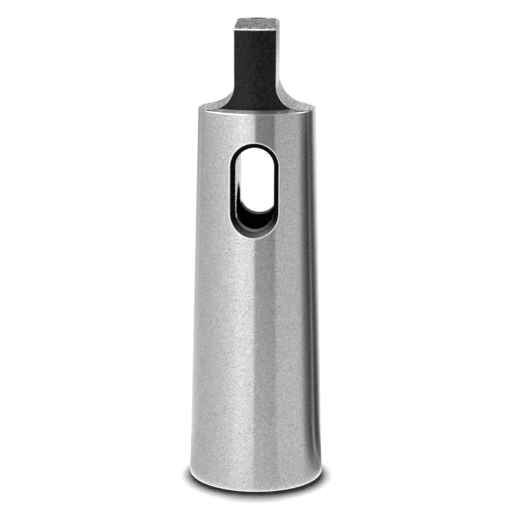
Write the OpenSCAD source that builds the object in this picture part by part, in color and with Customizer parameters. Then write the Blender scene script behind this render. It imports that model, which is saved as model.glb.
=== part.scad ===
// Morse taper sleeve with a tang: a Morse 6 taper outside and a Morse 5 taper bore inside.
// It is turned, bored, milled and ground from one bar of steel, so it is one solid.
// The big end stands on z = 0, the axis is Z, and the drift slot runs through along Y.

/* [Outer taper] */
// Diameter of the outer taper at its gauge line
outer_gauge_d = 63.348; // [62.5:0.001:64.5]
// Length of taper for each millimetre that the outer diameter loses
outer_taper_ratio = 19.18; // [18.5:0.01:20.5]
// Height of the gauge line above the big end
gauge_line_z = 8; // [4:0.5:12]
// Height of the taper's small end above the big end
small_end_z = 176.8; // [170:0.1:182]
// Chamfer round the foot of the outer taper
foot_chamfer = 0.5; // [0.3:0.1:2]

/* [Tang] */
// Overall height, from the big end to the end of the tang
overall_h = 218; // [212:0.5:226]
// Diameter of the tang's two rounded faces
tang_d = 51; // [48:0.25:52]
// Thickness between the tang's two flats
tang_t = 19; // [16:0.1:21]
// Radius of the fillets that run from the flats out to the shoulder
fillet_r = 13; // [10:0.5:15]
// Height of the shoulder's floor above the small end of the taper
shoulder_rise = 0.7; // [0.2:0.1:0.9]
// Height of the chamfer between the taper and the tang's rounded faces
shoulder_chamfer_h = 1.7; // [1:0.1:3.5]
// Chamfer round the end of the tang
tang_end_chamfer = 1.1; // [0.8:0.1:2.5]
// Drop of the tang's end from its flat middle out to the chamfer
tang_end_drop = 2.7; // [1:0.1:3.5]
// Diameter of the flat in the middle of the tang's end
tang_end_flat_d = 14.8; // [11:0.1:17]

/* [Centre hole] */
// Diameter of the centre hole at its mouth
centre_mouth_d = 6.8; // [5:0.1:9]
// Diameter of the centre hole's pilot
centre_pilot_d = 3.15; // [2:0.05:4]
// Depth of the pilot beyond the countersink
centre_pilot_depth = 4; // [2:0.5:7]
// Full angle of the countersink
centre_angle = 60; // [50:1:75]

/* [Taper bore] */
// Diameter of the taper bore at the big end
bore_gauge_d = 44.399; // [43.5:0.001:45.5]
// Length of bore for each millimetre that its diameter loses
bore_taper_ratio = 19.002; // [18.5:0.001:20]
// Diameter of the plain bore beyond the taper
bore_plain_d = 38.2; // [37.6:0.1:38.8]
// Depth of the plain bore from the big end, without its drilled point
bore_depth = 135.5; // [131:0.5:140]
// Full angle of the drilled point
drill_angle = 118; // [100:1:135]
// Chamfer round the mouth of the bore
mouth_chamfer = 1; // [0.5:0.1:2]

/* [Drift slot] */
// Width of the slot
slot_w = 17.5; // [15:0.1:19]
// Height of the slot, over its round ends
slot_h = 38.5; // [34:0.5:42]
// Height of the slot's lower end above the big end
slot_foot_z = 123; // [120:0.5:127]
// Chamfer round the slot on the outer taper
slot_chamfer = 2.6; // [0.8:0.1:3]

/* [Hidden] */
$fn = 160;

// How far a cutter reaches beyond the surface that it cuts
clear = 2;
// Overlap of the slot's chamfer cutter with the slot that it follows
chamfer_lap = 0.4;
// Straight pieces in each round end of the slot's chamfer
chamfer_steps = 24;

tang_r = tang_d / 2;
tang_end_flat_r = tang_end_flat_d / 2;
centre_mouth_r = centre_mouth_d / 2;
centre_pilot_r = centre_pilot_d / 2;
bore_plain_r = bore_plain_d / 2;
slot_r = slot_w / 2;

// Radius of the outer taper at height z
function outer_r(z) = (outer_gauge_d - (z - gauge_line_z) / outer_taper_ratio) / 2;
// Radius of the taper bore at height z
function bore_r(z) = (bore_gauge_d - z / bore_taper_ratio) / 2;

// Height at which the taper bore has narrowed to the plain bore
bore_taper_h = (bore_gauge_d - bore_plain_d) * bore_taper_ratio;
shoulder_z = small_end_z + shoulder_rise;
tang_edge_z = overall_h - tang_end_drop;
countersink_h = (centre_mouth_r - centre_pilot_r) / tan(centre_angle / 2);

// Points [x, z] round the slot's outline, grown outwards by the given amount
function slot_outline(grow) = [
    for (end = [0, 1], step = [0 : chamfer_steps])
        let (angle = 180 * (end + step / chamfer_steps),
             middle_z = end == 0 ? slot_foot_z + slot_h - slot_r : slot_foot_z + slot_r)
        [(slot_r + grow) * cos(angle), middle_z + (slot_r + grow) * sin(angle)]
];

// The same outline as points in space, at a given depth below the front of the outer taper
function outline_on_taper(grow, depth) = [
    for (p = slot_outline(grow)) [p[0], -sqrt(pow(outer_r(p[1]) - depth, 2) - pow(p[0], 2)), p[1]]
];

// The same outline on a flat plane across Y
function outline_on_plane(grow, y) = [for (p = slot_outline(grow)) [p[0], y, p[1]]];

// The bar as it leaves the lathe: foot, outer taper, shoulder chamfer, tang blank and its end
module turned_blank() {
    rotate_extrude()
        polygon([
            [0, 0],
            [outer_r(0) - foot_chamfer, 0],
            [outer_r(foot_chamfer), foot_chamfer],
            [outer_r(small_end_z), small_end_z],
            [tang_r, small_end_z + shoulder_chamfer_h],
            [tang_r, tang_edge_z - tang_end_chamfer],
            [tang_r - tang_end_chamfer, tang_edge_z],
            [tang_end_flat_r, overall_h],
            [0, overall_h]
        ]);
}

// The taper bore with its chamfered mouth, the plain bore beyond it and the drilled point
module taper_bore() {
    rotate_extrude()
        polygon([
            [0, -clear],
            [bore_r(0) + mouth_chamfer + clear, -clear],
            [bore_r(mouth_chamfer), mouth_chamfer],
            [bore_plain_r, bore_taper_h],
            [bore_plain_r, bore_depth],
            [0, bore_depth + bore_plain_r / tan(drill_angle / 2)]
        ]);
}

// What the milling cutter takes off one side of the tang, down to the shoulder
module tang_side_cut() {
    fillet_x = tang_t / 2 + fillet_r;
    fillet_z = shoulder_z + fillet_r;
    far_x = outer_r(0) + clear;
    far_z = overall_h + clear;
    rotate([90, 0, 0])
        linear_extrude(2 * far_x, center = true)
            union() {
                translate([fillet_x, fillet_z]) circle(fillet_r);
                polygon([
                    [tang_t / 2, fillet_z],
                    [fillet_x, shoulder_z],
                    [far_x, shoulder_z],
                    [far_x, far_z],
                    [tang_t / 2, far_z]
                ]);
            }
}

// The drift slot, right through along Y
module drift_slot() {
    length = 2 * (outer_r(0) + clear);
    rotate([90, 0, 0])
        linear_extrude(length, center = true)
            union() {
                translate([0, slot_foot_z + slot_r]) circle(slot_r);
                translate([0, slot_foot_z + slot_h - slot_r]) circle(slot_r);
                translate([-slot_r, slot_foot_z + slot_r]) square([slot_w, slot_h - slot_w]);
            }
}

// The cutter for the chamfer round the front mouth of the slot, which follows the taper's curve
module slot_mouth_chamfer() {
    rings = [
        outline_on_plane(-chamfer_lap, -outer_r(small_end_z) / 2),
        outline_on_taper(-chamfer_lap, slot_chamfer + chamfer_lap),
        outline_on_taper(slot_chamfer + clear, -clear),
        outline_on_plane(slot_chamfer + clear, -outer_r(0) - 2 * clear)
    ];
    count = len(rings[0]);
    last = len(rings) - 1;
    polyhedron(
        points = [for (ring = rings, p = ring) p],
        faces = concat(
            [[for (i = [0 : count - 1]) i]],
            [[for (i = [count - 1 : -1 : 0]) last * count + i]],
            [for (k = [0 : last - 1], i = [0 : count - 1]) [k * count + i, (k + 1) * count + i, (k + 1) * count + (i + 1) % count]],
            [for (k = [0 : last - 1], i = [0 : count - 1]) [k * count + i, (k + 1) * count + (i + 1) % count, k * count + (i + 1) % count]]
        )
    );
}

// The centre hole in the end of the tang, for work between centres
module centre_hole() {
    top_z = overall_h + clear;
    translate([0, 0, overall_h - countersink_h - centre_pilot_depth])
        cylinder(h = top_z - overall_h + countersink_h + centre_pilot_depth, r = centre_pilot_r);
    translate([0, 0, overall_h - countersink_h])
        cylinder(
            h = countersink_h + clear,
            r1 = centre_pilot_r,
            r2 = centre_mouth_r + clear * tan(centre_angle / 2)
        );
}

module sleeve() {
    color("silver")
        difference() {
            turned_blank();
            taper_bore();
            for (side = [0, 1])
                mirror([side, 0, 0]) tang_side_cut();
            drift_slot();
            for (side = [0, 1])
                mirror([0, side, 0]) slot_mouth_chamfer();
            centre_hole();
        }
}

sleeve();
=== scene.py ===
# A Morse taper sleeve with a tang, and a plain studio round it.
# The sleeve is one piece of steel: a ground taper outside, a taper bore inside, a through slot for
# a drift, and a milled tang. It stands on its big end at z = 0, the axis is Z, and the slot runs
# along Y. All lengths are in metres.

import math

import bmesh
import bpy
from mathutils import Matrix, Vector


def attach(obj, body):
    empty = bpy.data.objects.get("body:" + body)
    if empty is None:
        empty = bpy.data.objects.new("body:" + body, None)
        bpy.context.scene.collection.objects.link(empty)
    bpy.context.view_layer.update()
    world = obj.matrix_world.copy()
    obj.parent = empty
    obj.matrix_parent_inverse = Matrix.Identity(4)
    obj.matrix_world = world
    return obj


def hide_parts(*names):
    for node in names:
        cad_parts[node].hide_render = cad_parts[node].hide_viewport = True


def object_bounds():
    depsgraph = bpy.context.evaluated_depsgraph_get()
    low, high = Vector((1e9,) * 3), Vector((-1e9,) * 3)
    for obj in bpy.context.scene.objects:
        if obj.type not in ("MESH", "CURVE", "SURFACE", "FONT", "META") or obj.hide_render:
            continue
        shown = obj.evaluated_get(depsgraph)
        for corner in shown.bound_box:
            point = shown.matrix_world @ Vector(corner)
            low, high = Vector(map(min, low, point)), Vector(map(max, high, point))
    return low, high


bl_info = {
    "name": "Morse Taper Sleeve",
    "version": (1, 0, 0),
    "blender": (4, 5, 0),
    "location": "3D View > Sidebar > Sleeve",
    "description": "Models a tanged taper sleeve and a plain studio round it",
    "category": "Add Mesh",
}

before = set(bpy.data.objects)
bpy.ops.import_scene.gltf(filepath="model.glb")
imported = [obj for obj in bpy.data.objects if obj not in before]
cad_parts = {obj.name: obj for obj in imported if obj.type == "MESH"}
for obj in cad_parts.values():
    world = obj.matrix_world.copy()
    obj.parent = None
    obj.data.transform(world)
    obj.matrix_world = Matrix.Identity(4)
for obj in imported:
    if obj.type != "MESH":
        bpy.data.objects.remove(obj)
cad_box = [list(corner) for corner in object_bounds()]

MM = 0.001
ORIGIN = (0, 0, 0)
CAD_NODE = "sleeve"
BODY = "root"

# Points closer than MERGE become one, points of one edge differ by less than NEAR, or NEAR_TURN in
# radians, and a HAIR is still small against every chamfer.
MERGE = 0.001 * MM
NEAR = 0.004 * MM
HAIR = 0.1 * MM
NEAR_TURN = 0.001

# Strips round the sleeve, and those on each side of the X axis that the tang's flats cut off
TURN_STEPS = 144
FACE_STEPS = 23
STRIP = 2 * math.pi / TURN_STEPS
# Rows up a fillet, and straight pieces in each round end of the slot
FILLET_STEPS = 16
SLOT_ARC_STEPS = 48
# The patch of skin that each mouth of the slot is cut in: strips on each side of the YZ plane,
# rows, reach beyond the slot's chamfer, and cuts in the new skin round the chamfer
WINDOW_STRIPS = 11
WINDOW_ROWS = 46
WINDOW_MARGIN = 2.5 * MM
WINDOW_CUTS = 3
# The slot's inner outline starts this much further out than the outer one, to tell them apart
OUTLINE_GAP = 10 * MM
# The open rim of the shoulder and the tang lies above this height, and the foot's below it
TOP_RIM_Z = 170 * MM
# Points are laid on master surfaces, whose strips are too fine to leave facets and are turned so
# that no point meets an edge between two of them.
MASTER_STEPS = 1440
MASTER_TURN = 0.0013
MASTER_FOOT_Z = 100 * MM
MASTER_TIP_RADIUS = 0.5 * MM
# How far the bore's cutter stands out of the mouth, and the share of its radius left at its tip
CUTTER_CLEAR = 2 * MM
CUTTER_TIP = 0.002
# Distance from the bore's wall at which a face or edge is surely outside it
WALL_CLEAR = 2 * MM
# How far a rounding can reach from its edge, and how far one finish laps over the next
ROUNDING_REACH = 1 * MM
FINISH_LAP = 2 * MM
# Edges sharper than this are rounded, in so many rows, and flatter ones than SMOOTH shade smooth
SHARP = math.radians(30)
EDGE_ROWS = 3
SMOOTH = math.radians(25)


# Sizes and colours that a user would change


def length(name, description, default):
    """A length in metres."""
    return bpy.props.FloatProperty(
        name=name, description=description, default=default, min=0.0, precision=5, unit="LENGTH"
    )


def angle(name, description, degrees):
    """An angle, given in degrees."""
    return bpy.props.FloatProperty(
        name=name, description=description, default=math.radians(degrees), subtype="ANGLE"
    )


def number(name, description, default, least=0.0, unit="NONE"):
    """A number that isn't below its least value."""
    return bpy.props.FloatProperty(
        name=name, description=description, default=default, min=least, unit=unit
    )


def colour(name, description, default):
    """A colour, given as sRGB hex."""
    return bpy.props.StringProperty(name=name, description=description, default=default, maxlen=7)


class TaperSizes(bpy.types.PropertyGroup):
    """The outer taper."""

    gauge_diameter: length("Gauge Diameter", "Diameter at the gauge line", 63.348 * MM)
    gauge_height: length("Gauge Height", "Height of the gauge line above the big end", 8 * MM)
    ratio: number("Ratio", "Length for each unit of diameter lost", 19.18, 1.0)
    small_end_height: length("Small End Height", "Height of the taper's small end", 176.8 * MM)
    foot_chamfer: length("Foot Chamfer", "Chamfer round the foot", 0.5 * MM)
    edge_round: length("Edge Rounding", "Width of the rounding on the taper's edges", 0.35 * MM)


class TangSizes(bpy.types.PropertyGroup):
    """The tang."""

    end_height: length("End Height", "Height of the tang's end above the big end", cad_box[1][2])
    diameter: length("Diameter", "Across the two rounded faces", 51 * MM)
    thickness: length("Thickness", "Between the two milled flats", 19 * MM)
    fillet: length("Fillet", "Radius of the fillets down to the shoulder", 13 * MM)
    floor_rise: length("Floor Rise", "Height of the fillets' floor above the small end", 0.7 * MM)
    shoulder_chamfer: length(
        "Shoulder Chamfer", "Height of the chamfer above the small end", 1.7 * MM
    )
    end_chamfer: length("End Chamfer", "Chamfer round the tang's end", 1.1 * MM)
    end_drop: length("End Drop", "Drop of the end from its flat middle to the chamfer", 2.7 * MM)
    end_flat: length("End Flat", "Diameter of the flat middle of the end", 14.8 * MM)
    edge_round: length("Edge Rounding", "Width of the worn rounding on the tang's edges", 0.7 * MM)
    hole_mouth: length("Centre Hole Mouth", "Diameter of the centre hole at its mouth", 6.8 * MM)
    hole_pilot: length("Centre Hole Pilot", "Diameter of the centre hole's pilot", 3.15 * MM)
    hole_pilot_depth: length("Centre Hole Pilot Depth", "Depth of the pilot alone", 4 * MM)
    hole_angle: angle("Centre Hole Angle", "Full angle of the countersink", 60)


class BoreSizes(bpy.types.PropertyGroup):
    """The taper bore."""

    mouth_diameter: length("Mouth Diameter", "Diameter of the taper at the big end", 44.399 * MM)
    ratio: number("Ratio", "Length for each unit of diameter lost", 19.002, 1.0)
    plain_diameter: length("Plain Diameter", "Diameter of the plain bore", 38.2 * MM)
    depth: length("Depth", "Depth of the plain bore from the big end", 135.5 * MM)
    mouth_chamfer: length("Mouth Chamfer", "Chamfer round the bore's mouth", 1 * MM)
    drill_angle: angle("Drill Angle", "Full angle of the drilled point", 118)


class SlotSizes(bpy.types.PropertyGroup):
    """The drift slot."""

    width: length("Width", "Width of the slot", 17.5 * MM)
    height: length("Height", "Height of the slot over its round ends", 38.5 * MM)
    foot_height: length("Foot Height", "Height of the slot's lower end", 123 * MM)
    chamfer: length("Chamfer", "Chamfer round the slot on the taper", 2.6 * MM)
    edge_round: length("Edge Rounding", "Width of the rounding on the slot's edges", 0.35 * MM)


class FinishColours(bpy.types.PropertyGroup):
    """The steel's finishes."""

    ground: colour("Ground Steel", "Outer taper and taper bore", "#D2D2D2")
    milled: colour("Milled Steel", "Fillets, flat middle of the end, walls of the slot", "#BEBEBE")
    flat: colour("Tang Flats", "Milled flats of the tang, rubbed bright by the socket", "#E4E4E4")
    turned: colour("Turned Steel", "End of the tang and the big end", "#707070")
    shoulder: colour("Shoulder", "Chamfer between the taper and the tang", "#929292")
    chamfer: colour("Tang Chamfer", "Worn chamfer round the tang's end", "#707070")
    # Round the foot this black is partly skin and partly painted shade of the dark contact under
    # the sleeve.
    scale: colour("Black Skin", "Thick skin in the slot, the hole and round the foot", "#161616")
    # In the plain bore this dark grey is partly skin and partly painted shade of the deep bore.
    skin: colour("Tang Skin", "Thinner skin on the tang and in the plain bore", "#4C4C4C")
    worn: colour("Worn Edge", "Edges rubbed bright", "#F6F6F6")
    # The slot's lower end takes this grey on its front side as painted light, standing in for the
    # light on the slot's floor and chamfer.
    lit_slot_foot: colour("Slot Foot", "The slot's lower end, where the skin is thin", "#646464")


class StudioLooks(bpy.types.PropertyGroup):
    """The floor and the lights."""

    floor: colour("Floor", "The pale floor", "#FFFFFF")
    key_power: number("Key Power", "Power of the key light", 9.9, unit="POWER")
    fill_strength: number("Fill Strength", "Strength of the light from all round", 0.05)


SIZE_GROUPS = {
    "sleeve_taper": TaperSizes,
    "sleeve_tang": TangSizes,
    "sleeve_bore": BoreSizes,
    "sleeve_slot": SlotSizes,
    "sleeve_finish": FinishColours,
    "sleeve_studio": StudioLooks,
}


# Modelling by hand, in edit mode


def deselect_objects():
    """Leaves nothing selected, so that an operator acts on the new piece alone."""
    if bpy.context.object and bpy.context.object.mode != "OBJECT":
        bpy.ops.object.mode_set(mode="OBJECT")
    bpy.ops.object.select_all(action="DESELECT")


def select_object(obj):
    """Leaves one object selected and active."""
    deselect_objects()
    obj.select_set(True)
    bpy.context.view_layer.objects.active = obj


def edited():
    """The mesh that is being edited."""
    return bmesh.from_edit_mesh(bpy.context.object.data)


def pick(kind, test):
    """Selects the vertices, edges or faces that pass the test, and nothing else."""
    bpy.ops.mesh.select_mode(type=kind)
    bpy.ops.mesh.select_all(action="DESELECT")
    mesh = edited()
    items = {"VERT": mesh.verts, "EDGE": mesh.edges, "FACE": mesh.faces}[kind]
    chosen = [item for item in items if test(item)]
    if not chosen:
        raise RuntimeError("nothing of the sleeve lies where a step looks for it")
    for item in chosen:
        item.select_set(True)
    mesh.select_flush_mode()
    bmesh.update_edit_mesh(bpy.context.object.data)


def extrude_up(rise=0.0):
    """Extrudes the selected edges straight up."""
    bpy.ops.mesh.extrude_region_move(TRANSFORM_OT_translate={"value": (0, 0, rise)})


def scale_by(x, y, z, centre=ORIGIN):
    """Scales what is selected about a point."""
    bpy.ops.transform.resize(value=(x, y, z), center_override=centre)


def extrude_rings(points):
    """Extrudes the selected ring from the first (radius, height) point along the others."""
    for (old_radius, old_z), (radius, z) in zip(points, points[1:]):
        extrude_up(z - old_z)
        scale_by(radius / old_radius, radius / old_radius, 1)


def lathe(name, steps, profile, turn=0.0):
    """A new object in edit mode, its rings extruded along (radius, height) points."""
    deselect_objects()
    bpy.ops.mesh.primitive_circle_add(vertices=steps, radius=profile[0][0], enter_editmode=True)
    bpy.context.object.name = name
    pick("VERT", lambda v: True)
    bpy.ops.transform.translate(value=(0, 0, profile[0][1]))
    bpy.ops.transform.rotate(value=turn, orient_axis="Z", center_override=ORIGIN)
    extrude_rings(profile)
    return bpy.context.object


def lay_on(obj, master, axis):
    """Projects the object's selected vertices along x, y or z onto a master surface."""
    obj.vertex_groups.new(name="laid")
    bpy.ops.object.vertex_group_assign()
    bpy.ops.object.mode_set(mode="OBJECT")
    wrap = obj.modifiers.new("lay", "SHRINKWRAP")
    wrap.wrap_method = "PROJECT"
    setattr(wrap, f"use_project_{axis}", True)
    wrap.use_positive_direction = True
    wrap.use_negative_direction = True
    wrap.target = master
    wrap.vertex_group = "laid"
    bpy.ops.object.modifier_apply(modifier=wrap.name)
    obj.vertex_groups.clear()
    bpy.ops.object.mode_set(mode="EDIT")


def radius_of(point):
    """Distance of a point from the sleeve's axis."""
    return math.hypot(point.x, point.y)


def taper_radius(taper, z):
    """Radius of the outer taper at height z."""
    return (taper.gauge_diameter - (z - taper.gauge_height) / taper.ratio) / 2


def slot_window(slot):
    """Heights of the lower and upper edge of the patch of skin that the slot is cut in."""
    margin = slot.chamfer + WINDOW_MARGIN
    return slot.foot_height - margin, slot.foot_height + slot.height + margin


def taper_profile(taper, slot):
    """(radius, height) points of the foot and the taper, with close rows for the slot."""
    low, high = slot_window(slot)
    rows = [low + (high - low) * i / WINDOW_ROWS for i in range(WINDOW_ROWS + 1)]
    foot = (taper_radius(taper, 0) - taper.foot_chamfer, 0.0)
    return [foot, *[(taper_radius(taper, z), z) for z in (taper.foot_chamfer, *rows)]]


def turned_profile(taper, tang):
    """(radius, height) points from the shoulder to the tang's end, as the lathe leaves them."""
    small_z = taper.small_end_height
    tang_r = tang.diameter / 2
    edge_z = tang.end_height - tang.end_drop
    return [
        (taper_radius(taper, small_z), small_z),
        (tang_r, small_z + tang.shoulder_chamfer),
        (tang_r, edge_z - tang.end_chamfer),
        (tang_r - tang.end_chamfer, edge_z),
        (tang.end_flat / 2, tang.end_height),
    ]


def shoulder_radius(taper, tang, z):
    """Radius of the shoulder chamfer, and of the tang above it, at height z."""
    (r0, z0), (r1, z1) = turned_profile(taper, tang)[:2]
    return r0 + (r1 - r0) * min((z - z0) / (z1 - z0), 1.0)


def on_top_rim(edge):
    """Whether an edge is on the open top rim."""
    return edge.is_boundary and edge.verts[0].co.z > TOP_RIM_Z


def rim_side(width):
    """A test for the open top rim's vertices that lie further than a width from the YZ plane."""
    return lambda v: v.is_boundary and v.co.z > TOP_RIM_Z and abs(v.co.x) > width


def model_tang(taper, tang, floor):
    """Raises the tang's flats and fillets from the shoulder's floor ring."""
    radius, floor_z = floor
    half = tang.thickness / 2
    width = radius * math.sin(FACE_STEPS * STRIP)
    reach = radius * math.cos(FACE_STEPS * STRIP)

    def on_floor(c, side):
        return abs(c.z - floor_z) < NEAR and c.x * side > 0

    # the floor: the ring is repeated, and its two sides are pushed in to straight lines
    extrude_up()
    for side in (1, -1):
        pick("VERT", lambda v: rim_side(width + NEAR)(v) and v.co.x * side > 0)
        scale_by(0, 1, 1, (side * width, 0, 0))
    pick("VERT", lambda v: abs(v.co.z - floor_z) < NEAR)
    bpy.ops.mesh.remove_doubles(threshold=MERGE)
    for side in (1, -1):
        pick("FACE", lambda f: on_floor(f.calc_center_median(), side))
        bpy.ops.mesh.dissolve_faces()
    pick("EDGE", on_top_rim)
    # rows up the fillet, one of them at the top of the shoulder chamfer, then the straight part
    crease_rise = tang.shoulder_chamfer - tang.floor_rise
    crease = math.acos(1 - crease_rise / tang.fillet)
    bends = [math.pi / 2 * i / FILLET_STEPS for i in range(1, FILLET_STEPS + 1)]
    bends[min(range(FILLET_STEPS), key=lambda i: abs(bends[i] - crease))] = crease
    rows = []
    for bend in bends:
        rise, spread = 1 - math.cos(bend), 1 - math.sin(bend)
        rows.append((floor_z + tang.fillet * rise, half + tang.fillet * spread))
    edge_z = tang.end_height - tang.end_drop
    rows += [(edge_z - tang.end_chamfer, half), (edge_z - MERGE, half)]
    end_r = tang.diameter / 2 - tang.end_chamfer
    z = floor_z
    for row_z, row_width in rows:
        round_r = end_r if row_z > edge_z - NEAR else shoulder_radius(taper, tang, row_z)
        row_reach = math.sqrt(round_r**2 - row_width**2)
        extrude_up(row_z - z)
        scale_by(row_width / width, 1, 1)
        pick("VERT", rim_side(row_width - NEAR))
        scale_by(1, row_reach / reach, 1)
        pick("EDGE", on_top_rim)
        z, width, reach = row_z, row_width, row_reach


def lay_tang(obj, tang, master, floor_z):
    """Lays the tang's rounded faces and its end on the turned surfaces."""
    half = tang.thickness / 2
    edge_z = tang.end_height - tang.end_drop

    def row_width(z):
        drop = tang.fillet + floor_z - z
        return half + (tang.fillet - math.sqrt(max(tang.fillet**2 - max(drop, 0) ** 2, 0)))

    def on_end(v):
        return v.is_boundary and v.co.z > edge_z - HAIR and abs(v.co.x) > half - NEAR

    pick("VERT", lambda v: v.co.z > floor_z + NEAR and abs(v.co.x) < row_width(v.co.z) - NEAR)
    lay_on(obj, master, "y")
    pick("VERT", on_end)
    lay_on(obj, master, "z")


def model_end(tang):
    """Closes the tang's end: the low cone, the flat middle and the centre hole."""
    end_z = tang.end_height
    flat_r, mouth_r, pilot_r = tang.end_flat / 2, tang.hole_mouth / 2, tang.hole_pilot / 2
    pick("EDGE", on_top_rim)
    extrude_up()
    scale_by(1, 1, 0, (0, 0, end_z))
    bpy.ops.transform.tosphere(value=1)
    ring = [radius_of(v.co) for v in edited().verts if v.select]
    fit = flat_r / (sum(ring) / len(ring))
    scale_by(fit, fit, 1)
    sink_z = end_z - (mouth_r - pilot_r) / math.tan(tang.hole_angle / 2)
    pilot_z = sink_z - tang.hole_pilot_depth
    extrude_rings([(flat_r, end_z), (mouth_r, end_z), (pilot_r, sink_z), (pilot_r, pilot_z)])
    bpy.ops.mesh.edge_face_add()


def add_slot_outline(slot, half_width, y):
    """Adds the slot's outline, at a half width, as a loop of edges across Y."""
    low_z = slot.foot_height + slot.width / 2
    high_z = slot.foot_height + slot.height - slot.width / 2
    side = 1 if y > 0 else -1
    straight_steps = 2 * WINDOW_STRIPS + WINDOW_ROWS - SLOT_ARC_STEPS

    def loose(v):
        return not v.link_faces and v.co.y * side > abs(y) - NEAR

    bpy.ops.mesh.select_all(action="DESELECT")
    bpy.ops.mesh.primitive_circle_add(
        vertices=2 * SLOT_ARC_STEPS,
        radius=half_width,
        location=(0, y, high_z),
        rotation=(math.pi / 2, 0, 0),
    )
    pick("VERT", lambda v: loose(v) and v.co.z < high_z - NEAR)
    bpy.ops.mesh.delete(type="VERT")
    pick("VERT", loose)
    bpy.ops.mesh.duplicate()
    scale_by(1, 1, -1, (0, y, (low_z + high_z) / 2))
    for x in (1, -1):
        pick("VERT", lambda v: loose(v) and len(v.link_edges) == 1 and v.co.x * x > 0)
        bpy.ops.mesh.edge_face_add()
        bpy.ops.mesh.subdivide(number_cuts=straight_steps - 1)
    pick("VERT", loose)


def model_slot(obj, taper, slot, master, inner_master):
    """Cuts the slot's mouths in the skin, chamfers them and joins them by the slot's walls."""
    low, high = slot_window(slot)
    far = taper.gauge_diameter

    def in_window(point, side):
        turn = abs(math.atan2(point.x, side * point.y))
        return low - NEAR < point.z < high + NEAR and turn < WINDOW_STRIPS * STRIP + NEAR_TURN

    def around(side, outer):
        """A test for the edges of one outline and of the open rim that it is joined to."""

        def test(edge):
            vert = edge.verts[0]
            at_surface = taper_radius(taper, vert.co.z) - radius_of(vert.co) < 5 * NEAR
            chosen = edge.is_boundary or (vert.is_wire and at_surface == outer)
            return chosen and in_window(vert.co, side)

        return test

    for side in (-1, 1):
        pick("FACE", lambda f: all(in_window(v.co, side) for v in f.verts))
        bpy.ops.mesh.delete(type="FACE")
        add_slot_outline(slot, slot.width / 2, side * (far + OUTLINE_GAP))
        lay_on(obj, inner_master, "y")
        add_slot_outline(slot, slot.width / 2 + slot.chamfer, side * far)
        lay_on(obj, master, "y")
        pick("EDGE", around(side, True))
        bpy.ops.mesh.bridge_edge_loops(number_cuts=WINDOW_CUTS, interpolation="LINEAR")
        pick("VERT", lambda v: in_window(v.co, side) and not v.is_wire)
        lay_on(obj, master, "y")
        pick("EDGE", around(side, False))
        bpy.ops.mesh.bridge_edge_loops()
    pick("EDGE", lambda e: e.is_boundary and e.verts[0].co.z > low)
    bpy.ops.mesh.bridge_edge_loops()


def convex_edges(low, high=math.inf, reach=math.inf, inner=0.0):
    """A test for edges that stand out, in a stretch of height, width and radius."""

    def inside(point):
        return low < point.z < high and abs(point.x) < reach and radius_of(point) > inner

    def test(edge):
        if len(edge.link_faces) != 2 or not edge.is_convex or edge.calc_face_angle() < SHARP:
            return False
        return all(inside(v.co) for v in edge.verts)

    return test


def round_edges(test, width, finish):
    """Rounds the edges that pass the test, and gives the rounding its own finish."""
    pick("EDGE", test)
    bpy.ops.mesh.bevel(offset=width, segments=EDGE_ROWS, material=FINISHES.index(finish))


def round_all_edges(taper, tang, bore, slot):
    """Rounds the sleeve's edges."""
    low, high = slot_window(slot)
    foot_z, small_z, end_z = taper.foot_chamfer, taper.small_end_height, tang.end_height
    wall_r = bore.plain_diameter / 2 + WALL_CLEAR
    mouth_r = bore.mouth_diameter / 2 + 2 * bore.mouth_chamfer
    flat_r = tang.end_flat / 2
    foot_top = convex_edges(foot_z - NEAR, foot_z + NEAR, inner=mouth_r)
    foot_edge = convex_edges(-NEAR, NEAR, inner=mouth_r)
    big_end = convex_edges(-NEAR, NEAR)
    slot_mouths = convex_edges(low, high, slot.width, wall_r)
    small_end = convex_edges(small_z - NEAR, small_z + NEAR)

    def bore_mouth(edge):
        return big_end(edge) and radius_of(edge.verts[0].co) < mouth_r

    def flat_middle(edge):
        return all(
            abs(v.co.z - end_z) < NEAR and abs(radius_of(v.co) - flat_r) < NEAR for v in edge.verts
        )

    round_edges(foot_top, taper.edge_round, "polished_edge")
    round_edges(foot_edge, taper.foot_chamfer / 4, "polished_edge")
    round_edges(slot_mouths, slot.edge_round, "polished_edge")
    round_edges(bore_mouth, taper.edge_round, "turned_face")
    round_edges(small_end, taper.edge_round, "polished_edge")
    round_edges(convex_edges(small_z + HAIR), tang.edge_round, "worn_edge")
    round_edges(flat_middle, 2 * tang.edge_round, "turned_end")


def plain_bore_z(bore):
    """Height at which the taper bore has narrowed to the plain bore."""
    return (bore.mouth_diameter - bore.plain_diameter) * bore.ratio


def model_bore(obj, bore):
    """Bores the taper, the plain bore and the drilled point."""
    mouth_r, plain_r = bore.mouth_diameter / 2, bore.plain_diameter / 2
    point_height = plain_r / math.tan(bore.drill_angle / 2)
    profile = [
        (mouth_r + bore.mouth_chamfer + CUTTER_CLEAR, -CUTTER_CLEAR),
        (mouth_r - bore.mouth_chamfer / bore.ratio / 2, bore.mouth_chamfer),
        (plain_r, plain_bore_z(bore)),
        (plain_r, bore.depth),
        (plain_r * CUTTER_TIP, bore.depth + (1 - CUTTER_TIP) * point_height),
    ]
    cutter = lathe("bore cutter", TURN_STEPS, profile)
    bpy.ops.mesh.edge_face_add()
    pick("EDGE", lambda e: e.is_boundary)
    bpy.ops.mesh.edge_face_add()
    bpy.ops.mesh.select_all(action="SELECT")
    bpy.ops.mesh.normals_make_consistent(inside=False)
    select_object(obj)
    cut = obj.modifiers.new("bore", "BOOLEAN")
    cut.operation = "DIFFERENCE"
    cut.solver = "EXACT"
    cut.object = cutter
    bpy.ops.object.modifier_apply(modifier=cut.name)
    bpy.data.objects.remove(cutter)
    bpy.ops.object.mode_set(mode="EDIT")


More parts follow.
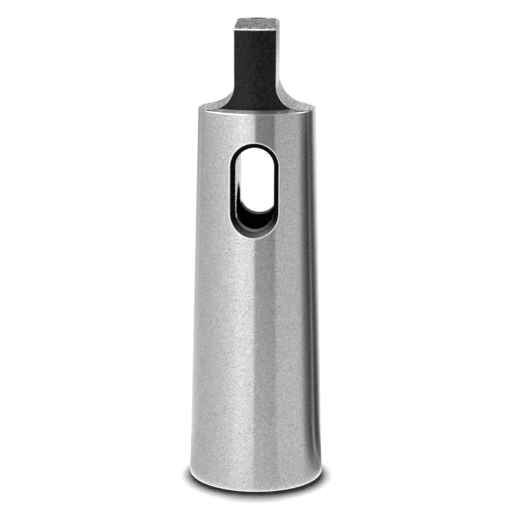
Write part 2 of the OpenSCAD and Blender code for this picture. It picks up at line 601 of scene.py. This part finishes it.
# The sleeve's finishes, in the order of its material slots, and those of its rounded edges
FINISHES = (
    "ground_taper", "polished_edge", "milled_steel", "turned_shoulder", "turned_end",
    "worn_edge", "black_skin_and_bore_shade", "turned_face", "reamed_bore", "slot_skin_and_lit_foot", "rubbed_chamfer",
    "fillet_edge", "slot_wall", "end_disc", "tang_flat", "hole_skin_and_foot_shade",
)
ROUNDED = [FINISHES.index(name) for name in ("polished_edge", "worn_edge")]

# Limits for a face's normal: along Z, over LEVEL on a level face, from SLOPING to LEVEL on a
# chamfer and over CHAMFER on the rounding above it; along X, over ACROSS on a face across X; along
# Y, under ALONG on a face that runs along Y and over OUTER_ROW on the long edges' outer rows
LEVEL = 0.9
CHAMFER = 0.7
SLOPING = 0.5
ACROSS = 0.95
ALONG = 0.05
OUTER_ROW = 0.45


def paint(finish, test, edges=False):
    """Gives a finish to the faces whose middle and normal pass the test, but to no rounded edge."""

    def chosen(face):
        rounded = face.material_index in ROUNDED
        return rounded == edges and test(face.calc_center_median(), face.normal)

    pick("FACE", chosen)
    bpy.context.object.active_material_index = FINISHES.index(finish)
    bpy.ops.object.material_slot_assign()


def paint_edges(finish, test):
    """Gives a finish to the rounded edges' faces that pass the test."""
    paint(finish, test, edges=True)


def paint_big_end(taper, bore):
    """Paints the big end's face, the foot's chamfer and the bore."""
    foot_z = taper.foot_chamfer
    plain_z = plain_bore_z(bore)
    mouth_r = bore.mouth_diameter / 2

    def outside(c):
        return radius_of(c) > mouth_r + WALL_CLEAR

    def in_bore(c, n):
        facing_axis = n.x * c.x + n.y * c.y <= 0
        return radius_of(c) < mouth_r and facing_axis and c.z < TOP_RIM_Z

    paint("turned_face", lambda c, n: c.z < HAIR)
    # the foot's chamfer and lower rounding: dull black, partly skin and partly painted shade of the
    # contact under the foot
    paint("hole_skin_and_foot_shade", lambda c, n: c.z < foot_z and -LEVEL < n.z < -SLOPING and outside(c))
    paint_edges("hole_skin_and_foot_shade", lambda c, n: c.z < foot_z / 3 and outside(c))
    # deep in the bore the black is partly skin and partly painted shade
    paint("reamed_bore", lambda c, n: in_bore(c, n) and c.z < plain_z)
    paint("black_skin_and_bore_shade", lambda c, n: in_bore(c, n) and c.z > plain_z)


def paint_tang(taper, tang):
    """Paints the shoulder and the tang, then the roundings of the tang's edges."""
    half = tang.thickness / 2
    tang_r = tang.diameter / 2
    hole_r = tang.hole_mouth / 2
    hole_rim_r = hole_r + 2 * tang.edge_round
    small_z = taper.small_end_height
    floor_z = small_z + tang.floor_rise
    crease_z = small_z + tang.shoulder_chamfer
    end_z = tang.end_height
    edge_z = end_z - tang.end_drop
    top_z = edge_z - tang.end_chamfer
    flat_z = floor_z + tang.fillet - FINISH_LAP

    def on_milled(c, n):
        return floor_z < c.z < end_z - HAIR and abs(n.y) < ALONG and abs(c.x) > half - NEAR

    def on_flat(c, n):
        return on_milled(c, n) and c.z > flat_z and abs(n.x) > ACROSS

    def in_hole(c, n):
        return c.z > TOP_RIM_Z and radius_of(c) < hole_r and n.z < LEVEL

    def above_chamfer(c, n):
        return top_z < c.z < edge_z + ROUNDING_REACH and n.z > CHAMFER

    def below_chamfer(c, n):
        return top_z - ROUNDING_REACH < c.z < top_z and abs(c.x) < half - ROUNDING_REACH

    def long_edge(c, n):
        return floor_z + FINISH_LAP < c.z < top_z and abs(n.y) > OUTER_ROW

    paint("turned_shoulder", lambda c, n: small_z < c.z < crease_z and radius_of(c) > tang_r)
    paint("black_skin_and_bore_shade", lambda c, n: crease_z < c.z < edge_z and abs(c.x) < half + tang.fillet)
    paint("milled_steel", lambda c, n: floor_z - NEAR < c.z < crease_z and n.z > LEVEL)
    paint("milled_steel", on_milled)
    paint("tang_flat", on_flat)
    paint("turned_end", lambda c, n: c.z > edge_z and n.z > LEVEL)
    paint("end_disc", lambda c, n: c.z > end_z - NEAR and n.z > LEVEL)
    paint("rubbed_chamfer", lambda c, n: top_z < c.z < edge_z and SLOPING < n.z < LEVEL)
    paint("hole_skin_and_foot_shade", in_hole)
    paint_edges("rubbed_chamfer", above_chamfer)
    paint_edges("hole_skin_and_foot_shade", lambda c, n: c.z > edge_z and radius_of(c) < hole_rim_r)
    paint_edges("black_skin_and_bore_shade", below_chamfer)
    paint_edges("fillet_edge", long_edge)


def paint_slot(taper, slot):
    """Paints the slot's chamfers and walls, then the inner side of its rounded edges."""
    half = slot.width / 2
    low, high = slot_window(slot)

    def depth(c):
        return taper_radius(taper, c.z) - radius_of(c)

    def in_slot(c, n):
        sunk = depth(c) > HAIR / 2 and (abs(n.y) < ALONG or depth(c) < slot.chamfer)
        return low < c.z < high and abs(c.x) < half + slot.chamfer and sunk

    def on_wall(c, n):
        return low < c.z < high and abs(n.x) > ACROSS and abs(c.x) < half + 2 * HAIR

    # the slot's finish has painted light, with a painted highlight on the lip, at its lower front
    # end
    paint("slot_skin_and_lit_foot", in_slot)
    paint("slot_wall", on_wall)
    paint_edges("slot_skin_and_lit_foot", lambda c, n: low < c.z < high and depth(c) > slot.chamfer / 2)


def smooth_sleeve(obj):
    """Shades the round surfaces smooth and keeps the flat ones flat."""
    select_object(obj)
    bpy.ops.object.shade_smooth_by_angle(angle=SMOOTH)
    weigh = obj.modifiers.new("weigh", "WEIGHTED_NORMAL")
    weigh.keep_sharp = True
    weigh.weight = 100  # the larger face has all the say
    bpy.ops.object.modifier_apply(modifier=weigh.name)


def model_sleeve(scene):
    """The whole sleeve as one mesh."""
    taper, tang = scene.sleeve_taper, scene.sleeve_tang
    bore, slot = scene.sleeve_bore, scene.sleeve_slot
    turned = turned_profile(taper, tang)
    foot = (taper_radius(taper, MASTER_FOOT_Z), MASTER_FOOT_Z)
    tip = (MASTER_TIP_RADIUS, tang.end_height)
    sunk = [(radius - slot.chamfer, z) for radius, z in (foot, turned[0])]
    master = lathe("turned master", MASTER_STEPS, [foot, *turned, tip], MASTER_TURN)
    inner_master = lathe("sunk master", MASTER_STEPS, sunk, MASTER_TURN)
    floor_z = taper.small_end_height + tang.floor_rise
    floor = (shoulder_radius(taper, tang, floor_z), floor_z)
    obj = lathe("sleeve_body", TURN_STEPS, [*taper_profile(taper, slot), turned[0], floor])
    for name in FINISHES:
        obj.data.materials.append(bpy.data.materials[name])
    model_tang(taper, tang, floor)
    lay_tang(obj, tang, master, floor_z)
    model_end(tang)
    pick("EDGE", lambda e: e.is_boundary and e.verts[0].co.z < NEAR)
    bpy.ops.mesh.edge_face_add()
    model_slot(obj, taper, slot, master, inner_master)
    bpy.ops.mesh.select_all(action="SELECT")
    bpy.ops.mesh.normals_make_consistent(inside=False)
    model_bore(obj, bore)
    round_all_edges(taper, tang, bore, slot)
    paint_tang(taper, tang)
    paint_big_end(taper, bore)
    paint_slot(taper, slot)
    smooth_sleeve(obj)
    for helper in (master, inner_master):
        bpy.data.objects.remove(helper)
    return obj


# Materials

# How far grain is drawn out along X, Y and Z: into level lines, into lines along the milling
# cutter's axis, into thin slices across it, and into short strokes along it
LEVEL_LINES = (60, 60, 1)
CUTTER_LINES = (1, 40, 1)
CUTTER_RINGS = (60, 1, 60)
STROKES = (1, 3, 1)
# Depth of the grain's bump
GRAIN_DEPTH = 0.02 * MM


def linear(hex_colour):
    """An sRGB hex colour as linear RGBA."""
    channels = [int(hex_colour[i : i + 2], 16) / 255 for i in (1, 3, 5)]
    return (*[c / 12.92 if c <= 0.04045 else ((c + 0.055) / 1.055) ** 2.4 for c in channels], 1.0)


def add_node(tree, kind, inputs=None, **settings):
    """Adds a node with its settings, and sets or links its inputs."""
    node = tree.nodes.new(kind)
    for name, value in settings.items():
        setattr(node, name, value)
    for name, value in (inputs or {}).items():
        if isinstance(value, bpy.types.NodeSocket):
            tree.links.new(value, node.inputs[name])
        else:
            node.inputs[name].default_value = value
    return node


def empty_tree(owner):
    """The node tree of a material, a lamp or the world, emptied."""
    owner.use_nodes = True
    owner.node_tree.nodes.clear()
    return owner.node_tree


def new_finish(name):
    """A new material's empty tree, and its object coordinates."""
    tree = empty_tree(bpy.data.materials.new(name))
    return tree, add_node(tree, "ShaderNodeTexCoord").outputs["Object"]


def show(tree, shader):
    """Links a shader to the material's output."""
    add_node(tree, "ShaderNodeOutputMaterial", {"Surface": shader.outputs[0]})


def maths(tree, operation, first, second, **settings):
    """A number made from two others."""
    inputs = {0: first, 1: second}
    return add_node(tree, "ShaderNodeMath", inputs, operation=operation, **settings).outputs[0]


def vector_maths(tree, operation, inputs, output=0):
    """A vector, or the number at another output, made from other vectors."""
    return add_node(tree, "ShaderNodeVectorMath", inputs, operation=operation).outputs[output]


def weighted(tree, base, *parts):
    """A number: base plus each (socket, weight) part."""
    total = base
    for socket, weight in parts:
        inputs = {0: socket, 1: weight, 2: total}
        total = add_node(tree, "ShaderNodeMath", inputs, operation="MULTIPLY_ADD").outputs[0]
    return total


def ramped(tree, value, start, stop, first=0.0, last=1.0, **settings):
    """A number that goes from first to last as a value goes from start to stop."""
    inputs = {"Value": value, "From Min": start, "From Max": stop, "To Min": first, "To Max": last}
    return add_node(tree, "ShaderNodeMapRange", inputs, **settings).outputs[0]


def split_axes(tree, place):
    """The X, Y and Z of a place."""
    return add_node(tree, "ShaderNodeSeparateXYZ", {0: place}).outputs


def grain(tree, place, spacing, detail=0.0, lengths=(1, 1, 1)):
    """Noise from -0.5 to 0.5 at a mean spacing in metres, drawn out along the axes by lengths."""
    scale = [1 / (spacing * k) for k in lengths]
    mapping = add_node(tree, "ShaderNodeMapping", {"Vector": place, "Scale": scale})
    inputs = {"Vector": mapping.outputs[0], "Scale": 1.0, "Detail": detail}
    return maths(tree, "SUBTRACT", add_node(tree, "ShaderNodeTexNoise", inputs).outputs[0], 0.5)


def rings(tree, place, spacing):
    """Noise from -0.5 to 0.5 in rings round the sleeve's axis, with a mean spacing in metres."""
    flat = vector_maths(tree, "MULTIPLY", {0: place, 1: (1, 1, 0)})
    radius = vector_maths(tree, "LENGTH", {0: flat}, "Value")
    inputs = {"W": radius, "Scale": 1 / spacing, "Detail": 2.0}
    noise = add_node(tree, "ShaderNodeTexNoise", inputs, noise_dimensions="1D")
    return maths(tree, "SUBTRACT", noise.outputs[0], 0.5)


def tinted(tree, hex_colour, factor):
    """A colour made lighter or darker by a factor socket."""
    return vector_maths(tree, "SCALE", {0: linear(hex_colour)[:3], "Scale": factor})


def mixed(tree, factor, first, second):
    """Two colours mixed by a factor. The node's colours are its inputs 6 and 7 and output 2."""
    inputs = {0: factor, 6: first, 7: second}
    return add_node(tree, "ShaderNodeMix", inputs, data_type="RGBA").outputs[2]


def bumped(tree, *parts):
    """A normal with a bump as deep as the grain, made of (socket, weight) parts."""
    inputs = {"Height": weighted(tree, 0.0, *parts), "Distance": GRAIN_DEPTH}
    return add_node(tree, "ShaderNodeBump", inputs).outputs[0]


def add_surface(tree, Metallic=1.0, **inputs):
    """A Principled shader with its inputs, bare metal unless they say otherwise."""
    named = {name.replace("_", " "): value for name, value in inputs.items()}
    show(tree, add_node(tree, "ShaderNodeBsdfPrincipled", {"Metallic": Metallic, **named}))


def make_ground_steel(name, hex_colour, roughness, speckle):
    """Hardened tool steel, cylindrically ground.

    The wheel leaves fine lines round the axis, so a reflection stays sharp from side to side and
    is drawn out up and down. The grit's speckle is finer than it is drawn here."""
    tree, place = new_finish(name)
    speck = grain(tree, place, 0.55 * MM, 1.0)
    blot = grain(tree, place, 2.2 * MM, 1.0)
    cloud = grain(tree, place, 9 * MM, 2.0)
    lines = grain(tree, place, 0.5 * MM, 2.0, LEVEL_LINES)
    shade = weighted(tree, 1.0, (speck, speckle), (blot, 0.15), (cloud, 0.08), (lines, 0.08))
    add_surface(
        tree,
        Base_Color=tinted(tree, hex_colour, shade),
        Roughness=weighted(tree, roughness, (speck, 0.1), (lines, 0.04)),
        Anisotropic=1.0,
        Anisotropic_Rotation=0.25,
        Tangent=vector_maths(tree, "CROSS_PRODUCT", {0: (0, 0, 1), 1: place}),
    )


def make_milled_steel(name, hex_colour, roughness, stretch, contrast):
    """Steel as the side of a milling cutter leaves it.

    Its teeth leave faint lines along the cutter's axis, Y, and between them a dull, torn grain that
    scatters the light. The grain is drawn coarser than it is."""
    tree, place = new_finish(name)
    speck = grain(tree, place, 0.75 * MM, 1.5, (1, stretch, 1))
    blot = grain(tree, place, 3 * MM, 1.0)
    lines = grain(tree, place, 0.6 * MM, 1.0, CUTTER_LINES)
    shade = weighted(tree, 1.0, (speck, contrast), (blot, 0.5), (lines, 0.9))
    add_surface(
        tree,
        Base_Color=tinted(tree, hex_colour, shade),
        Roughness=weighted(tree, roughness, (speck, 0.2), (lines, 0.15)),
        Normal=bumped(tree, (speck, 0.6), (lines, 0.4)),
    )


def make_turned_steel(name, hex_colour, roughness, speckle, lengths=(1, 1, 1), patches=0.3):
    """Steel as a lathe tool leaves it under the heat treatment's thin grey scale.

    The tool's feed leaves rings round the axis, and the scale gives a dull, uneven grain."""
    tree, place = new_finish(name)
    speck = grain(tree, place, 0.7 * MM, 1.5, lengths)
    blot = grain(tree, place, 2.5 * MM, 1.0)
    feed = rings(tree, place, 0.35 * MM)
    shade = weighted(tree, 1.0, (speck, speckle), (blot, patches), (feed, 0.3))
    add_surface(
        tree,
        Base_Color=tinted(tree, hex_colour, shade),
        Roughness=weighted(tree, roughness, (speck, 0.2), (feed, 0.1)),
        Normal=bumped(tree, (speck, 0.6), (feed, 0.4)),
    )


def make_rubbed_edge(name, hex_colour, roughness, wear):
    """Bare steel on an edge that handling and sockets have rubbed bright.

    The rubbing is uneven, so the bright line along the edge breaks and comes back."""
    tree, place = new_finish(name)
    speck = grain(tree, place, 0.8 * MM, 1.0)
    blot = grain(tree, place, 3 * MM, 1.0)
    add_surface(
        tree,
        Base_Color=tinted(tree, hex_colour, weighted(tree, 1.0, (speck, wear), (blot, wear / 2))),
        Roughness=weighted(tree, roughness, (blot, 0.2)),
    )


def make_black_skin(name, hex_colour, sheen):
    """The skin that heat treatment leaves: black oxide, satin, faintly mottled.

    The oxide is darkest where scale is thick, and its grain breaks up the little it reflects."""
    tree, place = new_finish(name)
    speck = grain(tree, place, 1.0 * MM, 2.0)
    cloud = grain(tree, place, 5 * MM, 2.0)
    add_surface(
        tree,
        Base_Color=tinted(tree, hex_colour, weighted(tree, 1.0, (speck, 4.5), (cloud, 0.8))),
        Metallic=0.0,
        Roughness=weighted(tree, 0.4, (cloud, 0.15)),
        Specular_IOR_Level=sheen,
        Normal=bumped(tree, (speck, 1.0)),
    )


def make_reamed_bore(name, hex_colour, skin_hex, heights):
    """The taper bore: fine grey steel from the reamer, going black towards its far end, partly with
    skin and partly as painted shade of the deep bore.
    """
    tree, place = new_finish(name)
    speck = grain(tree, place, 0.6 * MM, 1.0)
    lines = grain(tree, place, 0.5 * MM, 2.0, LEVEL_LINES)
    # black from the lower height to the upper: partly skin, partly painted shade deep in the bore
    skin = ramped(tree, split_axes(tree, place)["Z"], *heights)
    steel = tinted(tree, hex_colour, weighted(tree, 1.0, (speck, 0.6), (lines, 0.3)))
    add_surface(
        tree,
        Base_Color=mixed(tree, weighted(tree, skin, (speck, 0.3)), steel, linear(skin_hex)),
        Roughness=weighted(tree, 0.35, (lines, 0.05)),
    )


def make_fillet_edge(name, hex_colour, skin_hex, heights):
    """The tang's long edges: rubbed bright along the fillets, and still black above them.

    Between the two heights the skin comes back little by little, unevenly."""
    tree, place = new_finish(name)
    speck = grain(tree, place, 0.8 * MM, 1.0)
    skin = weighted(tree, ramped(tree, split_axes(tree, place)["Z"], *heights), (speck, 0.4))
    bright = tinted(tree, hex_colour, weighted(tree, 1.0, (speck, 0.4)))
    add_surface(tree, Base_Color=mixed(tree, skin, bright, linear(skin_hex)), Roughness=0.3)


def make_slot_finish_and_light(name, skin_hex, lit_foot_hex, heights, depths, lip):
    """Black skin in the slot, dull as soot, with painted light at its lower end.

    There, on the front side, grey steel with the cutter's rings is painted in for the light that
    falls on the slot's floor and chamfer. It is bare below the heights, in front of the depths, and
    brightest on the lip, where the brightening is a painted highlight."""
    tree, place = new_finish(name)
    speck = grain(tree, place, 0.7 * MM, 1.5)
    lines = grain(tree, place, 0.7 * MM, 1.0, CUTTER_RINGS)
    _, y, z = split_axes(tree, place)
    low = ramped(tree, z, *reversed(heights), interpolation_type="SMOOTHSTEP")
    # the mask of the painted light: the slot's lower end, on the front side
    bare = maths(tree, "MULTIPLY", low, ramped(tree, y, *depths))
    # the lip, brightened as a painted highlight
    outer = ramped(tree, y, *lip)
    skin = tinted(tree, skin_hex, weighted(tree, 1.0, (speck, 1.5)))
    shade = weighted(tree, 1.0, (speck, 1.5), (lines, 6.0), (outer, 0.8))
    add_surface(
        tree,
        Base_Color=mixed(tree, bare, skin, tinted(tree, lit_foot_hex, shade)),
        Metallic=bare,
        Roughness=weighted(tree, 0.45, (speck, 0.2)),
        Specular_IOR_Level=0.04,
    )


def make_finishes(finish):
    """Every finish of the sleeve."""
    make_ground_steel("ground_taper", finish.ground, roughness=0.25, speckle=1.35)
    make_rubbed_edge("polished_edge", finish.worn, roughness=0.2, wear=0.3)
    make_rubbed_edge("worn_edge", finish.worn, roughness=0.4, wear=2.5)
    make_fillet_edge("fillet_edge", finish.worn, finish.scale, heights=(187 * MM, 196 * MM))
    make_milled_steel("milled_steel", finish.milled, roughness=0.42, stretch=3, contrast=3.5)
    make_milled_steel("tang_flat", finish.flat, roughness=0.3, stretch=3, contrast=1.7)
    make_milled_steel("slot_wall", finish.milled, roughness=0.3, stretch=6, contrast=4.0)
    make_turned_steel("turned_shoulder", finish.shoulder, roughness=0.26, speckle=1.2)
    make_turned_steel("turned_end", finish.turned, roughness=0.45, speckle=5.5, lengths=STROKES)
    make_turned_steel("end_disc", finish.milled, roughness=0.45, speckle=3.0, lengths=STROKES)
    make_turned_steel("turned_face", finish.turned, roughness=0.4, speckle=0.8)
    make_turned_steel("rubbed_chamfer", finish.chamfer, roughness=0.6, speckle=4.0, patches=2.5)
    # the bore goes black towards its far end: partly skin, partly painted shade
    make_reamed_bore("reamed_bore", finish.ground, finish.scale, heights=(90 * MM, 112 * MM))
    # skin on the tang; in the plain bore it is partly painted shade
    make_black_skin("black_skin_and_bore_shade", finish.skin, sheen=0.2)
    # skin in the centre hole; round the foot it is partly painted shade
    make_black_skin("hole_skin_and_foot_shade", finish.scale, sheen=0.0)
    # the slot's black skin, with painted light at its lower front end
    make_slot_finish_and_light(
        "slot_skin_and_lit_foot",
        finish.scale,
        finish.lit_slot_foot,
        heights=(122 * MM, 131 * MM),
        depths=(5 * MM, -5 * MM),
        lip=(-26.5 * MM, -28.5 * MM),
    )


# Studio

# The camera's place and lens, fitted to the photograph's outlines. CAMERA_FOCAL and PHOTO_WIDTH
# are in pixels, and SENSOR_WIDTH is in millimetres.
CAMERA_AZIMUTH = math.radians(2.5522)
CAMERA_DISTANCE = 776.33 * MM
CAMERA_HEIGHT = 270.694 * MM
CAMERA_PITCH = math.radians(11.9482)
CAMERA_YAW = math.radians(0.0224)
CAMERA_ROLL = math.radians(0.2035)
CAMERA_FOCAL = 1678.034
CAMERA_CLIP = (0.05, 50)
PHOTO_WIDTH = 512
SENSOR_WIDTH = 36

# The key lamp hangs above the sleeve and a little behind it.
KEY_PLACE = (-2.5 * MM, 23 * MM, 900 * MM)
KEY_WIDTH = 27 * MM
KEY_DEPTH = 48 * MM
FLOOR_RADIUS = 200 * MM
FLOOR_STEPS = 64

# The wall of cards stands on a rim that lies just over the floor. Near the foot of the sleeve the
# rim has CARD_RIM_SHARE of CARD_RIM_SHADE mixed in, and inside GLINT_RADII a bright ring.
CARD_STEPS = 180
CARD_RADIUS = 90 * MM
CARD_HEIGHT = 1500 * MM
CARD_LIFT = 0.2 * MM
CARD_RIM_RADIUS = 32.1 * MM
CARD_RIM_SHADE = 0.6
CARD_RIM_SHARE = 0.5
GLINT_RADII = (34 * MM, 35 * MM)
GLINT_SHADE = 1.5
# The brightest that a card gets. Every brightness is kept as a share of it.
CARD_TOP = 1.5

# The cards' brightness by azimuth, in degrees from -Y towards +X. The taper mirrors CARD_STOPS:
# (azimuth, on the floor, from CARD_BLEND_HEIGHT up). Over CROWN_HEIGHTS they give way to
# CROWN_STOPS, which the fillets and the end mirror, and over SKY_HEIGHTS to SKY_STOPS, which keep
# the sides of the shoulder's chamfer dark.
CARD_BLEND_HEIGHT = 170 * MM
CROWN_HEIGHTS = (187 * MM, 203 * MM)
SKY_HEIGHTS = (285 * MM, 300 * MM)
CARD_STOPS = (
    (-180, 1.4, 1.05), (-150, 1.33, 0.45), (-132, 0.87, 0.4), (-124, 0.85, 0.66),
    (-115, 0.78, 0.5), (-100, 0.68, 0.61), (-80, 0.7, 0.7), (-60, 0.78, 0.8), (-44, 0.88, 0.97),
    (-33, 0.98, 1.12), (-24, 1.13, 1.3), (-10, 1.07, 1.18), (-1.5, 1.02, 1.1), (-0.9, 0.73, 0.34),
    (24, 0.64, 0.28), (31.5, 0.62, 0.2), (32.5, 0.76, 0.6), (70, 0.77, 0.64), (78, 0.74, 0.6),
    (81, 0.5, 0.42), (88, 0.2, 0.2), (93, 0.17, 0.13), (96, 0.06, 0.06), (103, 0.06, 0.05),
    (105, 0.55, 0.25), (108, 0.55, 0.15), (110, 0.05, 0.08), (121, 0.05, 0.12), (127, 0.06, 0.6),
    (134, 0.4, 0.8), (142, 1.0, 0.95), (180, 1.4, 1.05),
)
CROWN_STOPS = (
    (-180, 1.08), (-150, 0.15), (-112, 0.15), (-104, 1.5), (-66, 1.5), (-58, 1.2), (-18, 1.2),
    (-8, 0.3), (80, 0.3), (86, 1.5), (104, 1.5), (112, 0.15), (150, 0.15), (180, 1.08),
)
SKY_STOPS = (
    (-180, 1.08), (-150, 0.15), (-92, 0.15), (-84, 1.5), (-66, 1.5), (-58, 1.2), (-18, 1.2),
    (-8, 0.3), (54, 0.3), (84, 0.5), (92, 0.15), (150, 0.15), (180, 1.08),
)


def add_camera(scene):
    """A camera at the photograph's viewing angle."""
    data = bpy.data.cameras.new("camera")
    data.sensor_width = SENSOR_WIDTH
    data.lens = CAMERA_FOCAL / PHOTO_WIDTH * SENSOR_WIDTH
    data.clip_start, data.clip_end = CAMERA_CLIP
    camera = bpy.data.objects.new("camera", data)
    scene.collection.objects.link(camera)
    heading = CAMERA_AZIMUTH + CAMERA_YAW
    forward = Vector((-math.sin(heading), math.cos(heading), 0)) * math.cos(CAMERA_PITCH)
    forward.z = -math.sin(CAMERA_PITCH)
    right = forward.cross(Vector((0, 0, 1))).normalized()
    up = right.cross(forward)
    side = right * math.cos(CAMERA_ROLL) + up * math.sin(CAMERA_ROLL)
    top = up * math.cos(CAMERA_ROLL) - right * math.sin(CAMERA_ROLL)
    turn = Matrix((side, top, -forward)).transposed()
    place = Vector((math.sin(CAMERA_AZIMUTH), -math.cos(CAMERA_AZIMUTH), 0)) * CAMERA_DISTANCE
    place.z = CAMERA_HEIGHT
    camera.matrix_world = Matrix.Translation(place) @ turn.to_4x4()
    scene.camera = camera


def seen_by_eye(tree):
    """1 for what the eye sees, also in gloss and through glass, and 0 for light on dull faces."""
    path = add_node(tree, "ShaderNodeLightPath").outputs
    total = path["Is Camera Ray"]
    for name in ("Is Glossy Ray", "Is Transmission Ray"):
        total = maths(tree, "ADD", total, path[name], use_clamp=True)
    return maths(tree, "MULTIPLY", total, maths(tree, "LESS_THAN", path["Diffuse Depth"], 0.5))


def light_world(scene, looks):
    """A world that is white to the eye and gives a low, even fill."""
    world = bpy.data.worlds.new("studio")
    scene.world = world
    tree = empty_tree(world)
    strength = ramped(tree, seen_by_eye(tree), 0.0, 1.0, looks.fill_strength, 1.0)
    ground = add_node(tree, "ShaderNodeBackground", {"Color": (1, 1, 1, 1), "Strength": strength})
    add_node(tree, "ShaderNodeOutputWorld", {"Surface": ground.outputs[0]})


def add_floor(looks):
    """A round floor, as pale as the world beyond it."""
    deselect_objects()
    bpy.ops.mesh.primitive_circle_add(vertices=FLOOR_STEPS, radius=FLOOR_RADIUS, fill_type="NGON")
    floor = bpy.context.object
    floor.name = "floor"
    tree, _ = new_finish("pale floor")
    show(tree, add_node(tree, "ShaderNodeBsdfDiffuse", {"Color": linear(looks.floor)}))
    floor.data.materials.append(bpy.data.materials["pale floor"])


def add_key(scene, looks):
    """A small soft lamp above and a little behind, whose shadow hugs the sleeve's foot.

    Its light doesn't fade with distance, so the floor is evenly white."""
    lamp = bpy.data.lights.new("key", "AREA")
    lamp.shape = "ELLIPSE"
    lamp.size, lamp.size_y = KEY_WIDTH, KEY_DEPTH
    lamp.energy = looks.key_power
    tree = empty_tree(lamp)
    falloff = add_node(tree, "ShaderNodeLightFalloff", {"Strength": 1.0}).outputs["Constant"]
    glow = add_node(tree, "ShaderNodeEmission", {"Strength": falloff})
    add_node(tree, "ShaderNodeOutputLight", {"Surface": glow.outputs[0]})
    key = bpy.data.objects.new("key", lamp)
    key.location = KEY_PLACE
    scene.collection.objects.link(key)


def card_grey(strength):
    """A brightness as a grey, a share of CARD_TOP."""
    return (strength / CARD_TOP,) * 3 + (1,)


def add_ramp(tree, turn, stops):
    """A brightness round the axis through (azimuth, strength) stops."""
    ramp = add_node(tree, "ShaderNodeValToRGB", {"Fac": turn})
    points = ramp.color_ramp.elements
    while len(points) < len(stops):
        points.new(1.0)
    for point, (azimuth, strength) in zip(points, stops):
        point.position = (azimuth + 180) / 360
        point.color = card_grey(strength)
    return ramp.outputs[0]


def card_shade(tree, place):
    """The cards' brightness at a place, as a share of CARD_TOP."""
    x, y, z = split_axes(tree, place)
    azimuth = maths(tree, "ARCTAN2", x, maths(tree, "MULTIPLY", y, -1.0))
    turn = ramped(tree, azimuth, -math.pi, math.pi)
    low = add_ramp(tree, turn, [(stop[0], stop[1]) for stop in CARD_STOPS])
    high = add_ramp(tree, turn, [(stop[0], stop[2]) for stop in CARD_STOPS])
    crown, sky = (add_ramp(tree, turn, stops) for stops in (CROWN_STOPS, SKY_STOPS))
    wall = mixed(tree, ramped(tree, z, 0.0, CARD_BLEND_HEIGHT), low, high)
    above = mixed(tree, ramped(tree, z, *SKY_HEIGHTS), crown, sky)
    shade = mixed(tree, ramped(tree, z, *CROWN_HEIGHTS), wall, above)
    reach = vector_maths(tree, "LENGTH", {0: place}, "Value")
    rim = ramped(tree, reach, CARD_RIM_RADIUS, CARD_RADIUS, CARD_RIM_SHARE, 0.0)
    glint = ramped(tree, reach, *reversed(GLINT_RADII))
    rimmed = mixed(tree, rim, shade, card_grey(CARD_RIM_SHADE))
    return mixed(tree, glint, rimmed, card_grey(GLINT_SHADE))


def add_cards(looks):
    """A round wall of cards, with a rim on the floor, that shows only in the sleeve's gloss."""
    wall = [(CARD_RADIUS, CARD_LIFT), (CARD_RADIUS, CARD_HEIGHT)]
    cards = lathe("cards", CARD_STEPS, [(CARD_RIM_RADIUS, CARD_LIFT), *wall])
    deselect_objects()
    tree, place = new_finish("studio cards")
    strength = ramped(tree, seen_by_eye(tree), 0.0, 1.0, looks.fill_strength, CARD_TOP)
    glow = {"Color": card_shade(tree, place), "Strength": strength}
    show(tree, add_node(tree, "ShaderNodeEmission", glow))
    cards.data.materials.append(bpy.data.materials["studio cards"])
    cards.visible_camera = False
    cards.visible_shadow = False
    cards.visible_diffuse = False


# Operators


class MESH_OT_taper_sleeve(bpy.types.Operator):
    """Adds the taper sleeve in place of the frame's solid"""

    bl_idname = "mesh.taper_sleeve_add"
    bl_label = "Add Taper Sleeve"

    def execute(self, context):
        make_finishes(context.scene.sleeve_finish)
        obj = model_sleeve(context.scene)
        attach(obj, BODY)
        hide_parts(CAD_NODE)
        return {"FINISHED"}


class SCENE_OT_sleeve_studio(bpy.types.Operator):
    """Adds the pale floor, the soft light and the camera"""

    bl_idname = "scene.sleeve_studio_add"
    bl_label = "Add Sleeve Studio"

    def execute(self, context):
        scene = context.scene
        looks = scene.sleeve_studio
        scene.view_settings.view_transform = "Standard"
        light_world(scene, looks)
        add_floor(looks)
        add_key(scene, looks)
        add_cards(looks)
        add_camera(scene)
        return {"FINISHED"}


class VIEW3D_PT_taper_sleeve(bpy.types.Panel):
    """Sizes, colours and steps of the taper sleeve"""

    bl_label = "Taper Sleeve"
    bl_space_type = "VIEW_3D"
    bl_region_type = "UI"
    bl_category = "Sleeve"

    def draw(self, context):
        layout = self.layout
        for step in OPERATORS:
            layout.operator(step.bl_idname)
        for name, group in SIZE_GROUPS.items():
            column = layout.column(heading=group.bl_rna.description)
            settings = getattr(context.scene, name)
            for key in group.__annotations__:
                column.prop(settings, key)


OPERATORS = (MESH_OT_taper_sleeve, SCENE_OT_sleeve_studio)
CLASSES = (*SIZE_GROUPS.values(), *OPERATORS, VIEW3D_PT_taper_sleeve)


def register():
    """Registers the classes and the settings that they read."""
    for item in CLASSES:
        bpy.utils.register_class(item)
    for name, group in SIZE_GROUPS.items():
        setattr(bpy.types.Scene, name, bpy.props.PointerProperty(type=group))


def unregister():
    """Undoes register."""
    for name in SIZE_GROUPS:
        delattr(bpy.types.Scene, name)
    for item in reversed(CLASSES):
        bpy.utils.unregister_class(item)


def main():
    """Makes the sleeve and its studio."""
    register()
    bpy.ops.mesh.taper_sleeve_add()
    bpy.ops.scene.sleeve_studio_add()


if __name__ == "__main__":
    main()
